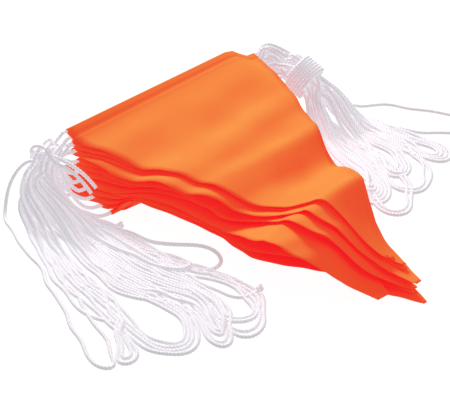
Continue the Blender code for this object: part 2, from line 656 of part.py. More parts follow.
def left_tie(colour):
    """One turn of cord round the gathered strands, knotted, with its two free ends."""
    reach = LEFT_TIE[3] + TIE_CLEAR + CORD / 2.0
    turns = np.linspace(*TIE_TURN, TIE_RING_POINTS)
    steps = np.linspace(-CORD * 0.6, CORD * 0.6, TIE_RING_POINTS)
    ring = [round_tie(LEFT_TIE, turn, reach, step) for turn, step in zip(turns, steps)]
    over = [round_tie(LEFT_TIE, turn, reach + out, step) for turn, out, step in TIE_CROSSING]
    route = smooth_route(TAIL_A[::-1] + ring + over + TAIL_B, CORD)
    return curve_tube("tie_left", route, CORD / 2.0, colour)


def right_tie(colour):
    """The wound sleeve of cord turns round the right-hand strands, one ridge for each turn."""
    along, side, up = tie_axes(RIGHT_TIE)
    middle = np.array(RIGHT_TIE[:3], float)
    inner = RIGHT_TIE[3] + WRAP_CLEAR
    profile = [(-0.5 * WRAP_TURNS * WRAP_PITCH, inner)]
    for turn in range(WRAP_TURNS):
        start = (turn - 0.5 * WRAP_TURNS) * WRAP_PITCH
        profile += [(start + 0.15, inner + 0.6 * CORD), (start + 0.5 * WRAP_PITCH, inner + CORD)]
    profile += [(0.5 * WRAP_TURNS * WRAP_PITCH - 0.15, inner + 0.6 * CORD),
                (0.5 * WRAP_TURNS * WRAP_PITCH, inner)]
    body = bmesh.new()
    rings = []
    for i in range(WRAP_SIDES):
        turn = 2.0 * math.pi * i / WRAP_SIDES
        out = math.cos(turn) * side + math.sin(turn) * up
        rings.append([body.verts.new(placed(middle + along * s + out * r)) for s, r in profile])
    for i in range(WRAP_SIDES):
        here, after = rings[i], rings[(i + 1) % WRAP_SIDES]
        for j in range(len(profile)):
            k = (j + 1) % len(profile)
            body.faces.new([here[j], here[k], after[k], after[j]])
    bmesh.ops.recalc_face_normals(body, faces=body.faces[:])
    return finished("tie_right", body, colour, smooth=True)


def main():
    for made in list(bpy.data.objects):
        bpy.data.objects.remove(made)
    cloth = material("orange_cloth", ORANGE, 0.75)
    cord = material("white_cord", WHITE, 0.8)
    for number in range(len(PENNANTS)):
        pennant(number, cloth)
    order = np.random.default_rng(3).permutation(
        2 * (len(LEFT_LOOPS) + len(LEFT_TWICE)) + len(FREE_ENDS))
    routes = strand_routes(LEFT_TIE, LEFT_SECTIONS, LEFT_LOOPS, LEFT_TWICE, left_lead, FREE_ENDS, order)
    hank("hank_left", routes, [end[-1] for _, _, end in FREE_ENDS], cord)
    order = np.random.default_rng(4).permutation(2 * (len(RIGHT_LOOPS) + len(RIGHT_TWICE)))
    routes = strand_routes(RIGHT_TIE, RIGHT_SECTIONS, RIGHT_LOOPS, RIGHT_TWICE, right_lead, [], order)
    hank("hank_right", routes, [], cord)
    left_tie(cord)
    right_tie(cord)


if __name__ == "__main__":
    main()
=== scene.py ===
"""Dressed model of a packed length of fabric bunting: twenty orange pennants stacked on one
another, and the white cord that joins them gathered into a tied hank at either side.

Plan positions in the tables are millimetres from the middle of the top pennant's hem, as in
the part's source, and heights are millimetres over the floor; `placed` turns both into the
frame's metres.
"""

import math

import bmesh
import bpy
import numpy as np
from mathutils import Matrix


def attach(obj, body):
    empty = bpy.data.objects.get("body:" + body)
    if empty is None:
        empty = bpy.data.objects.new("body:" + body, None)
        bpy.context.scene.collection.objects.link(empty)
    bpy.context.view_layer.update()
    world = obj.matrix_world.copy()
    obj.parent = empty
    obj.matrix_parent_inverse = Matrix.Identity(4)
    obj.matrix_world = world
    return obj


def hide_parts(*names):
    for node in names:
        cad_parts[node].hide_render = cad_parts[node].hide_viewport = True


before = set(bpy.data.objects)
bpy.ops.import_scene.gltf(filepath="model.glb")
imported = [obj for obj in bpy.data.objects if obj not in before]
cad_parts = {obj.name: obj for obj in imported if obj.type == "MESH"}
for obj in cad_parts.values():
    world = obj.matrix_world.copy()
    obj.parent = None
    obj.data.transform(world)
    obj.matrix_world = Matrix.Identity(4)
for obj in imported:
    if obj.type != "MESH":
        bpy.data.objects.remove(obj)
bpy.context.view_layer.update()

MM = 0.001
STACK_CENTRE = (-2.2, -172.9)  # the frame's origin, in the tables' plan

# ---------------------------------------------------------------- measurements, millimetres
CLOTH = 0.34                # thickness of the cloth
CORD = 3.2                  # thickness of the line and of the ties
HEM_END = 12.0              # the slanting sides start this far below the top edge
HEM_IN = 2.6                # from the top edge to the middle of the cord in the hem
SEAM_IN = 10.5              # from the top edge to the seam
TIP = 6.0                   # width of a tip
WIDE_TIP = (8, 15.0)        # one pennant's tip is folded back to a wider end

# Where each pennant lies, lowest first:
# left corner x, left corner y, right corner x, right corner y, tip x, tip y
PENNANTS = [
    (-118, -8, 108, -4, 3, -318),
    (-119, -60, 112, -30, -2, -332),
    (-123, -2, 105, 4, 4, -316),
    (-121, -50, 110, -24, -1, -349),
    (-125, -1, 103, 4, 6, -316),
    (-123, -42, 108, -20, 2, -334),
    (-127, -3, 101, 2, 4, -320),
    (-125, -34, 107, -16, 5, -332),
    (-124, -8, 104, -2, -25, -323),
    (-126, -27, 106, -13, 8, -322),
    (-125, -7, 106, 0, 8, -318),
    (-122, -22, 109, -13, 7, -322),
    (-118, -13, 112, -6, -4, -337),
    (-119, -18, 113, -11, 6, -322),
    (-115, -8, 114, -4, -1, -340),
    (-117, -13, 115, -9, 2, -322),
    (-114, -5, 115, -3, 3, -318),
    (-116, -10, 115, -8, 3, -320),
    (-113, -5, 119, -4, 0, -310),
    (-115, 0, 123, 0, -4, -308),
]
TOP = len(PENNANTS) - 1

# Heights of the sheets' mid-surfaces along the front edge: distance from the hem line, then the
# sheets named in GUIDES, then the top one at the far edge; the other sheets lie evenly between
GUIDES = (0, 8, 12, 14, 19)
HEIGHTS = [
    (0, 1.9, 29.3, 43.0, 49.9, 67.0, 81.0),
    (17, 1.8, 26.3, 38.6, 48.5, 60.0, 78.0),
    (45, 1.3, 24.8, 36.5, 49.5, 57.0, 73.0),
    (62, 1.0, 23.1, 34.2, 46.5, 53.5, 68.5),
    (69, 4.5, 23.4, 33.8, 45.5, 52.0, 67.0),
    (76, 14.0, 25.0, 34.5, 45.0, 51.0, 66.0),
    (83, 20.5, 27.5, 36.0, 45.2, 51.0, 66.0),
    (92, 20.5, 28.8, 37.3, 47.2, 52.5, 66.0),
    (101, 17.5, 28.8, 37.8, 49.5, 54.3, 65.5),
    (118, 12.8, 28.0, 38.5, 52.3, 56.3, 62.5),
    (137, 8.2, 25.0, 34.0, 49.9, 53.5, 60.5),
    (151, 6.0, 22.5, 32.5, 50.0, 55.0, 60.0),
    (165, 4.5, 22.5, 29.5, 47.0, 53.0, 53.0),
    (180, 3.0, 24.8, 31.0, 41.5, 47.3, 47.5),
    (190, 1.6, 28.5, 34.3, 40.8, 46.2, 47.5),
    (202, 0.5, 33.5, 38.5, 43.3, 47.8, 50.5),
    (213, 0.5, 39.5, 43.3, 47.0, 52.0, 54.5),
    (222, 0.5, 45.0, 48.5, 52.2, 56.0, 58.0),
    (229, 0.5, 49.5, 54.0, 56.5, 59.7, 61.0),
    (237, 0.5, 50.4, 58.5, 61.0, 64.0, 63.5),
    (245, 0.5, 49.9, 59.6, 65.0, 69.3, 66.8),
    (250, 0.5, 49.2, 58.5, 64.9, 70.8, 68.3),
    (256, 0.5, 45.5, 56.0, 62.0, 68.3, 64.5),
    (262, 0.5, 41.5, 52.5, 58.5, 64.5, 58.0),
    (270, 0.5, 35.8, 47.2, 53.5, 58.5, 48.5),
    (280, 0.5, 26.5, 38.5, 45.0, 50.0, 40.5),
    (292, 0.5, 16.5, 27.8, 34.0, 40.0, 35.0),
    (307, 0.5, 10.0, 17.8, 25.0, 31.5, 31.0),
    (325, 0.5, 6.0, 13.0, 20.0, 28.5, 29.0),
    (350, 0.5, 4.5, 11.5, 18.0, 28.5, 28.5),
]

# How far the same sheets' front edges stand out of their straight sides, on the same lines; a
# sheet between two of them keeps to the one that stands out less, and lies back in the middle
FRONT_OUT = [
    (0, 0.0, 0.0, 0.0, 0.0, 0.0),
    (30, 0.0, -0.3, -0.3, 6.0, 0.0),
    (62, 0.0, -1.0, -1.0, 11.0, 0.0),
    (101, 0.0, -5.0, -4.0, 11.0, 0.0),
    (137, 0.5, -8.0, -4.0, 11.0, 0.0),
    (151, 2.0, -7.0, -2.5, 9.0, 0.0),
    (165, 4.2, -4.0, 0.0, 6.5, 0.0),
    (180, 6.7, 2.5, 1.0, 4.8, 0.0),
    (190, 8.2, 5.5, 2.4, 4.2, 0.0),
    (202, 9.5, 9.5, 3.8, 3.9, 0.0),
    (213, 10.0, 14.5, 5.0, 3.9, 0.0),
    (222, 9.9, 20.0, 7.5, 4.6, 0.0),
    (229, 9.5, 24.0, 10.5, 5.4, 0.0),
    (237, 8.6, 27.0, 14.5, 6.8, 0.0),
    (245, 7.5, 30.0, 18.8, 8.6, 0.0),
    (256, 5.6, 32.2, 22.6, 11.0, 0.0),
    (262, 4.6, 32.4, 23.5, 11.2, 0.0),
    (270, 3.2, 31.4, 23.0, 9.4, 0.0),
    (280, 1.8, 27.5, 17.0, 5.7, 0.0),
    (292, 0.5, 17.0, 10.0, 1.0, 0.0),
    (307, 0.0, 4.5, 2.5, -1.5, 0.0),
    (325, 0.0, -1.0, -1.5, -1.5, 0.0),
    (350, 0.0, -1.0, -1.0, -1.0, 0.0),
]
# How far all far edges lie inside their straight sides, by the distance
FAR_IN = [(0, 0.0), (200, 0.0), (235, 3.0), (262, 5.5),
          (283, 6.5), (297, 4.5), (312, 1.5), (350, 0.0)]
LIE_BACK = 7.0              # how far the sheets between the guides lie back at most
LIE_BACK_AT = 140.0         # where they do, and how far that reaches either way
LIE_BACK_REACH = 150.0

LEAST_PITCH = 0.72          # from one sheet's middle up to the next one's
HALF_WIDTH = 115.0          # of the stack at the hems; it narrows evenly over its length
STACK_LENGTH = 330.0
NARROWEST = 20.0            # least half width, near the tips
ACROSS_LEAST = -0.8         # places across the stack are held between these
ACROSS_MOST = 1.2
CREST_DRIFT = 36.0          # the lowest sheets' ridge lies nearer the hems at the far side
CREST_DRIFT_FROM = 100.0
CREST_DRIFT_FULL = 200.0
CREST_SKEW = 10.0           # and all sheets' ridge by this much
CREST_SKEW_FROM = 180.0
CREST_SKEW_OVER = 50.0
BRIDGE_FROM = 150.0         # beyond this the sheets' far side lies like their front
BRIDGE_OVER = 50.0
DROOP = 17.0                # how far the top hem's right corner hangs down
DROOP_FROM_X = 85.0
DROOP_REACH = 33.0
DROOP_LENGTH = 90.0

# Sections of the gathered strands, from the tie towards the loops:
# outer x, outer y, inner x, inner y, lowest, highest
LEFT_SECTIONS = [
    (-180, -8, -146, -24, 16, 40),
    (-194, -42, -132, -56, 2, 28),
    (-211, -82, -124, -90, 0, 20),
    (-225, -124, -120, -130, 0, 13),
    (-231, -164, -113, -166, 0, 10),
]
RIGHT_SECTIONS = [
    (138, -66, 189, -67, 9, 38),
    (116, -100, 197, -94, 1, 26),
    (99, -137, 204, -124, 0, 16),
    (90, -172, 208, -156, 0, 12),
]
# Ties: middle x, y, z of the gathered strands, their radius, and their direction x, y, z
LEFT_TIE = (-144, -4, 47, 10.5, -0.95, -0.22, -0.20)
RIGHT_TIE = (157, -41, 42, 11.6, 0.25, -0.80, -0.50)
GOLDEN_TURN = 2.39996       # the turn from one strand's place in a tie to the next one's

# Loops: pennant below, place across and up the sections on the way out, sections passed,
# places on the way back, sections passed, and the points x, y, z of the loop's end
LEFT_LOOPS = [
    (1, (1.00, 0.6, 3), (0.72, 1.0, 3),
     [(-110, -129, 3), (-87, -157, 2), (-80, -174, 2), (-89, -188, 2), (-105, -191, 2),
      (-124, -172, 2), (-140, -130, 2), (-152, -95, 3), (-158, -72, 6), (-152, -66, 11),
      (-143, -80, 13), (-130, -116, 8), (-121, -146, 6), (-112, -170, 6), (-114, -178, 6),
      (-124, -176, 7), (-134, -158, 9)]),
    (3, (0.58, 0.1, 5), (0.97, 0.3, 5),
     [(-137, -215, 2), (-148, -250, 2), (-150, -272, 2), (-142, -283, 2), (-128, -280, 2),
      (-111, -266, 2), (-100, -246, 2), (-98, -223, 3), (-102, -200, 4)]),
    (5, (0.42, 0.2, 5), (0.86, 0.8, 5),
     [(-158, -214, 2), (-163, -245, 2), (-169, -266, 2), (-166, -281, 2), (-154, -274, 2),
      (-141, -254, 4), (-130, -228, 6)]),
    (7, (0.20, 0.5, 5), (0.62, 0.9, 5),
     [(-212, -190, 2), (-216, -220, 2), (-213, -244, 2), (-204, -260, 2), (-192, -265, 2),
      (-176, -257, 2), (-163, -238, 3), (-156, -216, 5)]),
    (9, (0.00, 0.3, 4), (0.14, 0.2, 4),
     [(-239, -167, 2), (-255, -211, 2), (-258, -230, 2), (-249, -241, 2), (-238, -222, 2),
      (-226, -185, 3)]),
    (11, (0.30, 0.1, 5), (0.08, 0.7, 5),
     [(-208, -192, 4), (-226, -217, 5), (-243, -238, 5), (-236, -245, 2), (-225, -239, 2),
      (-219, -226, 3), (-213, -200, 5)]),
    (13, (0.25, 0.9, 5), (0.52, 0.6, 5),
     [(-204, -195, 7), (-209, -222, 6), (-206, -242, 6), (-198, -254, 6), (-188, -258, 6),
      (-175, -249, 6), (-166, -234, 6), (-161, -216, 8)]),
    (15, (0.66, 0.4, 5), (0.92, 0.7, 5),
     [(-131, -212, 5), (-140, -236, 4), (-143, -254, 2), (-134, -264, 2), (-120, -268, 4),
      (-107, -258, 5), (-101, -241, 6), (-101, -221, 6), (-106, -203, 6)]),
    (17, (0.48, 1.0, 5), (0.80, 0.4, 5),
     [(-150, -212, 9), (-155, -240, 6), (-161, -262, 5), (-156, -270, 5), (-146, -255, 7),
      (-135, -230, 9)]),
]
WIDE_LOOP = 9               # this strand swings out round the tie before it joins the rest
WIDE_SWING = [(-154, -3, 53), (-163, 5, 46), (-173, 11, 32), (-182, 8, 19), (-190, -5, 10),
              (-198, -24, 5), (-204, -48, 4)]
WIDE_JOINS = 2              # the section in which it joins them
# The strands that run a second time from the tie to their loop and back, by the pennant below
LEFT_TWICE = (3, 5, 7, 11, 13, 15, 17)
RIGHT_TWICE = (0, 2, 4, 6, 8, 12, 14, 16, 18)
SECOND_INSET = 4.5          # the second turn's loop lies this far inside the first's
SECOND_LEAST = 0.3          # and keeps at least this share of its size
SECOND_LIFT = 2.5
SECOND_ACROSS = 0.06        # and its places in the sections lie this far on and up
SECOND_UP = 0.3
FOLD_OUT = 9.0              # how far the folds between two turns stand out of the tie
FOLD_RADIUS = 6.5
LEFT_STRAIGHT = 4.0         # how far from its middle a strand runs straight in a tie
RIGHT_STRAIGHT = 10.0
# Free ends: pennant, place across and up the sections, sections passed, and the last points
FREE_ENDS = [
    (19, (0.98, 0.95, 2), [(-133, -78, 16), (-129, -83, 14), (-123, -87, 12)]),
    (0, (0.90, 0.20, 5), [(-120, -210, 3), (-117, -231, 2), (-106, -242, 2), (-93, -240, 3)]),
]
RIGHT_LOOPS = [
    (0, (0.24, 0.3, 4), (0.14, 0.4, 4),
     [(110, -196, 2), (100, -205, 2), (90, -208, 2), (86, -201, 2), (92, -186, 2)]),
    (2, (0.50, 0.1, 4), (0.10, 0.1, 4),
     [(138, -196, 2), (130, -213, 2), (120, -227, 2), (104, -239, 2), (88, -244, 2),
      (79, -236, 2), (80, -218, 2), (88, -200, 2)]),
    (4, (0.97, 0.5, 4), (0.74, 0.1, 4),
     [(208, -170, 2), (210, -190, 2), (203, -204, 2), (191, -208, 2), (181, -196, 2),
      (178, -178, 3)]),
    (6, (0.66, 0.4, 4), (0.42, 0.6, 3),
     [(158, -176, 3), (150, -188, 3), (141, -193, 3), (134, -187, 3), (135, -174, 4)]),
    (8, (0.80, 1.0, 4), (0.36, 0.3, 4),
     [(178, -178, 10), (171, -198, 6), (158, -215, 3), (142, -227, 2), (129, -227, 2),
      (119, -216, 2), (116, -200, 3)]),
    (10, (1.00, 1.0, 1), (0.95, 0.6, 3),
     [(196, -72, 22), (213, -77, 12), (234, -93, 5), (250, -121, 2), (264, -147, 2),
      (273, -172, 2), (271, -190, 2), (257, -193, 2), (241, -180, 2), (226, -163, 2),
      (212, -150, 3)]),
    (12, (0.93, 0.9, 4), (0.80, 0.5, 4),
     [(203, -172, 6), (206, -186, 6), (199, -197, 6), (189, -200, 6), (184, -192, 6),
      (184, -178, 7)]),
    (14, (0.70, 0.9, 4), (0.52, 0.9, 3),
     [(164, -178, 8), (152, -194, 6), (140, -199, 6), (130, -194, 6), (132, -178, 7)]),
    (16, (0.30, 0.8, 4), (0.06, 0.7, 4),
     [(114, -198, 6), (102, -212, 5), (88, -218, 5), (80, -211, 5), (85, -196, 5)]),
    (18, (0.20, 0.95, 4), (0.16, 0.95, 4),
     [(106, -190, 8), (97, -200, 8), (90, -198, 8), (92, -188, 8)]),
]

# The left tie: its ring's clearance from the strands, points and turn, the points of its two
# tails, and its crossing (turn, distance out of the ring, step along the strands)
TIE_CLEAR = 3.4
TIE_RING_POINTS = 13
TIE_TURN = (112.0, -205.0)
TIE_STEP = 0.6              # of a cord's thickness along the strands, either way
TIE_ROUTE_STEP = 2.0
TIE_SOFTENED = 6
TAIL_A = [(-145, -16, 59), (-142, -24, 57), (-136, -31, 52), (-130, -36, 46), (-125, -41, 39),
          (-122, -47, 33), (-121, -52, 29)]
TAIL_B = [(-146, -26, 54), (-138, -33, 48), (-133, -40, 41), (-130, -47, 34), (-129, -55, 28)]
TIE_CROSSING = [(140, 1.5, 1.0), (124, 4.2, 0.0), (113, 6.8, 0.6), (116, 8.4, 3.6), (130, 7.4, 6.0)]
# The right tie: its turns, how far apart they lie, and their clearance from the strands
WRAP_TURNS = 7
WRAP_PITCH = 3.6
WRAP_CLEAR = 4.9
WRAP_TURN_POINTS = 24

# ---------------------------------------------------------------- camera, in the tables' frame
CAMERA_TURN = -41.953       # degrees about the vertical
CAMERA_RISE = 32.637        # degrees above the floor
CAMERA_AWAY = 1300.0
CAMERA_AIM = (-47.7, -147.5, 30.0)
CAMERA_CLIP = (0.01, 20.0)  # metres
PHOTO_WIDTH = 450.0         # pixels
FOCAL_PIXELS = 1436.0
SENSOR = 36.0


def placed(points):
    """Table millimetres to the frame's metres."""
    shift = np.array([STACK_CENTRE[0], STACK_CENTRE[1], 0.0])
    return (np.asarray(points, float) - shift) * MM


def add_camera():
    """Looks along the photo's direction: turned about the vertical, then raised."""
    turn, rise = math.radians(CAMERA_TURN), math.radians(CAMERA_RISE)
    back = np.array([math.sin(turn) * math.cos(rise), -math.cos(turn) * math.cos(rise),
                     math.sin(rise)])
    lens = bpy.data.cameras.new("photo_camera")
    lens.sensor_width = SENSOR
    lens.lens = SENSOR * FOCAL_PIXELS / PHOTO_WIDTH
    lens.clip_start, lens.clip_end = CAMERA_CLIP
    camera = bpy.data.objects.new("photo_camera", lens)
    camera.location = placed(np.array(CAMERA_AIM) + CAMERA_AWAY * back)
    camera.rotation_euler = (math.pi / 2.0 - rise, 0.0, turn)
    bpy.context.collection.objects.link(camera)
    bpy.context.scene.camera = camera


# ---------------------------------------------------------------- shapes shared by the pieces
CURVE_POINTS = 40           # worked out between two given points of a route


def eased(value):
    """A smooth step from 0 to 1: 3 v^2 - 2 v^3, level before 0 and after 1."""
    held = np.clip(value, 0.0, 1.0)
    return held * held * (3.0 - 2.0 * held)


def hump(value):
    """One smooth rise and fall between -1 and 1: the square of cos(v pi / 2)."""
    held = np.clip(np.abs(value), 0.0, 1.0)
    return np.cos(math.pi / 2.0 * held) ** 2


def through_rows(rows, column, at):
    """A smooth curve (cubic Hermite) through one column of a table, by its first column."""
    where = np.array([row[0] for row in rows], float)
    value = np.array([row[column] for row in rows], float)
    slope = np.gradient(value, where)
    held = np.clip(at, where[0], where[-1])
    i = np.clip(np.searchsorted(where, held, side="right") - 1, 0, len(where) - 2)
    gap = where[i + 1] - where[i]
    t = (held - where[i]) / gap
    start = (1.0 + 2.0 * t) * (1.0 - t) ** 2
    leave = t * (1.0 - t) ** 2 * gap
    end = t * t * (3.0 - 2.0 * t)
    arrive = t * t * (t - 1.0) * gap
    return start * value[i] + leave * slope[i] + end * value[i + 1] + arrive * slope[i + 1]


def guide_heights(x, y):
    """Heights of the GUIDES' sheets over plan points, top sheet first, each clear of the next.

    A height is the front edge's at the same distance, plus the share across the stack of the
    way to the far edge's height, less a droop at the right hem corner that grows with the level.
    """
    half = np.maximum(HALF_WIDTH * (1.0 + y / STACK_LENGTH), NARROWEST)
    across = np.clip((x / half + 1.0) / 2.0, ACROSS_LEAST, ACROSS_MOST)
    droop = eased((x - DROOP_FROM_X) / DROOP_REACH) * (1.0 - eased(-y / DROOP_LENGTH))
    drifted = eased((-y - CREST_DRIFT_FROM) / (CREST_DRIFT_FULL - CREST_DRIFT_FROM))
    distance = CREST_SKEW * across * eased((-y - CREST_SKEW_FROM) / CREST_SKEW_OVER) - y
    bridged = eased((-y - BRIDGE_FROM) / BRIDGE_OVER)
    front_top = through_rows(HEIGHTS, len(GUIDES), distance)
    far_top = through_rows(HEIGHTS, len(GUIDES) + 1, distance)
    found = []
    for column in range(len(GUIDES), 0, -1):
        guide = GUIDES[column - 1]
        level = guide / TOP
        front = through_rows(HEIGHTS, column, distance)
        shifted = distance + CREST_DRIFT * (1.0 - level) * drifted
        far = CLOTH + (through_rows(HEIGHTS, len(GUIDES) + 1, shifted) - CLOTH) * level
        far = far + (front + far_top - front_top - far) * bridged
        height = front + (far - front) * across - DROOP * droop * level
        if found:
            pitch = np.minimum(LEAST_PITCH, (found[0] - CLOTH) / TOP)
            highest = found[-1] - (GUIDES[column] - guide) * pitch
            height = np.clip(height, CLOTH + guide * pitch, highest)
        found.append(height)
    return found


def sheet_height(number, x, y):
    """Height of the mid-surface of a pennant's sheet over a plan point."""
    guides = guide_heights(np.asarray(x, float), np.asarray(y, float))[::-1]
    after = int(np.clip(np.searchsorted(GUIDES, number, side="right"), 1, len(GUIDES) - 1))
    step = (number - GUIDES[after - 1]) / (GUIDES[after] - GUIDES[after - 1])
    return guides[after - 1] + (guides[after] - guides[after - 1]) * step


def level_of(number):
    """A pennant's place in the stack: 0 is the lowest and 1 is the top one."""
    return number / TOP


def smooth_route(points, step):
    """A curve through the points (centripetal Catmull-Rom), as evenly spaced points."""
    known = np.array(points, float)
    known = np.vstack([2 * known[0] - known[1], known, 2 * known[-1] - known[-2]])
    knot = np.concatenate([[0.0], np.cumsum(np.linalg.norm(np.diff(known, axis=0), axis=1) ** 0.5)])
    fine = []
    for i in range(1, len(known) - 2):
        t0, t1, t2, t3 = knot[i - 1:i + 3]
        p0, p1, p2, p3 = known[i - 1:i + 3]
        t = np.linspace(t1, t2, CURVE_POINTS, endpoint=False)[:, None]
        a1 = (t1 - t) / (t1 - t0) * p0 + (t - t0) / (t1 - t0) * p1
        a2 = (t2 - t) / (t2 - t1) * p1 + (t - t1) / (t2 - t1) * p2
        a3 = (t3 - t) / (t3 - t2) * p2 + (t - t2) / (t3 - t2) * p3
        b1 = (t2 - t) / (t2 - t0) * a1 + (t - t0) / (t2 - t0) * a2
        b2 = (t3 - t) / (t3 - t1) * a2 + (t - t1) / (t3 - t1) * a3
        fine.append((t2 - t) / (t2 - t1) * b1 + (t - t1) / (t2 - t1) * b2)
    fine = np.vstack(fine + [known[-2:-1]])
    along = np.concatenate([[0.0], np.cumsum(np.linalg.norm(np.diff(fine, axis=0), axis=1))])
    count = max(int(round(along[-1] / step)), 4)
    even = np.linspace(0.0, along[-1], count + 1)
    return np.stack([np.interp(even, along, fine[:, axis]) for axis in range(3)], 1)


def grid_mesh(name, points, finish, closed_round=False, uv=None):
    """A mesh on a grid of points (rows, columns); closed_round joins the last column to the first."""
    rows, columns = points.shape[:2]
    index = np.arange(rows * columns).reshape(rows, columns)
    if closed_round:
        index = np.concatenate([index, index[:, :1]], 1)
    quads = np.stack([index[:-1, :-1], index[1:, :-1], index[1:, 1:], index[:-1, 1:]], -1)
    mesh = bpy.data.meshes.new(name)
    mesh.from_pydata(placed(points.reshape(-1, 3)), [], quads.reshape(-1, 4))
    if uv is not None:
        layer = mesh.uv_layers.new(name="cloth")
        corner = np.empty(len(mesh.loops), np.int32)
        mesh.loops.foreach_get("vertex_index", corner)
        layer.data.foreach_set("uv", uv.reshape(-1, 2)[corner].astype(np.float32).ravel())
    mesh.polygons.foreach_set("use_smooth", np.ones(len(mesh.polygons), bool))
    mesh.materials.append(finish)
    mesh.update()
    piece = bpy.data.objects.new(name, mesh)
    bpy.context.collection.objects.link(piece)
    return piece


# ---------------------------------------------------------------- materials
# The cloth's red emission is painted light: a steady glow that keeps the cloth deep red where it lies
# in shade, so the dyes' base colours carry little red of their own
CLOTH_LOOK_AND_PAINTED_GLOW = {"Roughness": 0.8, "Specular IOR Level": 0.04,
              "Emission Color": (0.79, 0.002, 0.014, 1.0), "Emission Strength": 1.0}
CLOTH_PATCHES = {"Scale": 18.0, "Detail": 3.0}
CLOTH_DYES = {"Color1": (0.13, 0.225, 0.034, 1.0), "Color2": (0.14, 0.255, 0.040, 1.0)}
CLOTH_BUMP = {"Strength": 0.18, "Distance": 0.0002}
THREADS = {"Scale": 550.0}
# The cord's white emission is painted light: a glow that lightens the cord's shaded sides and the
# hollows between its strands
CORD_LOOK_AND_PAINTED_GLOW = {"Roughness": 0.7, "Specular IOR Level": 0.3, "Subsurface Weight": 0.25,
             "Subsurface Radius": (0.002, 0.0018, 0.0018), "Subsurface Scale": 1.0,
             "Emission Color": (0.97, 0.93, 0.98, 1.0), "Emission Strength": 0.42}
CORD_PATCHES = {"Scale": 260.0, "Detail": 4.0}
CORD_GREYS = {"Color1": (0.52, 0.50, 0.54, 1.0), "Color2": (0.64, 0.62, 0.65, 1.0)}
CORD_BUMP = {"Strength": 0.35, "Distance": 0.0002}
FIBRES = {"Scale": 900.0, "Distortion": 2.0}
FLOOR_LOOK = {"Base Color": (0.12, 0.12, 0.12, 1.0), "Roughness": 0.9,
              "Emission Color": (1.0, 1.0, 1.0, 1.0), "Emission Strength": 0.97}


def set_sockets(node, values):
    """Gives a node's sockets their values, by the sockets' names."""
    for socket, value in values.items():
        node.inputs[socket].default_value = value
    return node


def plain(name, look):
    """A new material whose shader has the look's values."""
    made = bpy.data.materials.new(name)
    made.use_nodes = True
    set_sockets(made.node_tree.nodes["Principled BSDF"], look)
    return made


def soft_finish(name, look, noise, tones, bump):
    """A material that varies softly between two tones, with its coordinates and its bump node."""
    made = plain(name, look)
    nodes, links = made.node_tree.nodes, made.node_tree.links
    shader = nodes["Principled BSDF"]
    place = nodes.new("ShaderNodeTexCoord")
    patches = set_sockets(nodes.new("ShaderNodeTexNoise"), noise)
    mixed = set_sockets(nodes.new("ShaderNodeMixRGB"), tones)
    raised = set_sockets(nodes.new("ShaderNodeBump"), bump)
    links.new(place.outputs["Object"], patches.inputs["Vector"])
    links.new(patches.outputs["Fac"], mixed.inputs["Fac"])
    links.new(mixed.outputs["Color"], shader.inputs["Base Color"])
    links.new(raised.outputs["Normal"], shader.inputs["Normal"])
    return made, place, raised


def stripes(made, place, direction, values):
    """Stripes across a direction of the piece's own flat plan, its UV map, in metres."""
    wave = set_sockets(made.node_tree.nodes.new("ShaderNodeTexWave"), values)
    wave.bands_direction = direction
    made.node_tree.links.new(place.outputs["UV"], wave.inputs["Vector"])
    return wave


def orange_cloth():
    """Fluorescent orange woven cloth: a plain weave, warp times weft, a softly uneven dye, and a red
    glow that is painted light, keeping the cloth deep red where it lies in shade.
    """
    made, place, bump = soft_finish("orange_cloth", CLOTH_LOOK_AND_PAINTED_GLOW, CLOTH_PATCHES, CLOTH_DYES, CLOTH_BUMP)
    weave = made.node_tree.nodes.new("ShaderNodeMath")
    weave.operation = "MULTIPLY"
    for number, direction in enumerate("XY"):
        thread = stripes(made, place, direction, THREADS)
        made.node_tree.links.new(thread.outputs["Fac"], weave.inputs[number])
    made.node_tree.links.new(weave.outputs[0], bump.inputs["Height"])
    return made


def white_cord():
    """White laid cord: fine fibres run along the strands, with a soft grey variation and a white glow
    that is painted light on its shaded sides.
    """
    made, place, bump = soft_finish("white_cord", CORD_LOOK_AND_PAINTED_GLOW, CORD_PATCHES, CORD_GREYS, CORD_BUMP)
    fibre = stripes(made, place, "DIAGONAL", FIBRES)
    made.node_tree.links.new(fibre.outputs["Fac"], bump.inputs["Height"])
    return made


# ---------------------------------------------------------------- cord
STRANDS = 3                 # the cord is laid from three strands
LAY_LENGTH = 9.5            # one full twist of the strands
RING_STEP = 1.3             # from one ring of points round the cord to the next
RING_POINTS = 12
ROPE_RADIUS = 2.05          # over the crowns of the strands
GROOVE = 0.13               # half the depth of the groove between strands, of the radius
SMALLEST = 1e-6             # keeps a division or a cross product off nought
MERGE_WITHIN = 1e-6         # metres

KNOT_SIZE = 0.80
KNOT_HEIGHT = 3.9           # of a knot's middle over the floor
KNOT_RADIUS = 0.52          # of a cord's thickness
KNOT_POINTS = 60
KNOT_DEPTH = 1.4
KNOT_LEAN = 0.6             # radians
CROWN_EDGE = 0.25           # share of a section's height at its outer and inner edge

IN_HEM = 5.0                # length of each lead that is still inside its hem
LEAD_GAP = 0.9
LEFT_LEAD_OUT = 4.0         # the left-hand leads bend this far outside their hems
LEFT_LEAD_BEND = 0.5
RISING_LEADS = 12           # the left-hand leads below this pennant rise to the tie
LEFT_RISE_X = -131.0        # where they rise, by threes this far apart
LEFT_RISE_APART = 0.5
LEFT_RISE_Y = (0.45, -3.0)  # factor and shift of the hem's own place
LEFT_RISE_Z = (0.75, 12.0)
RIGHT_LEAD_OUT = 8.0        # the right-hand leads turn up this far outside their hems
RIGHT_LEAD_RISE = 1.5
LEAD_CLEAR_X = 127.0        # and beyond all hem ends
RIGHT_OVER_X = 131.0        # where they go over towards the tie, by threes this far apart
RIGHT_OVER_APART = 4.0
RIGHT_OVER_Y = (-1.0, -14.0)  # of the top pennant's lead, and how much more the lowest one's
RIGHT_OVER_Z = (41.0, 31.0)  # of the lowest pennant's lead, and how much more the top one's

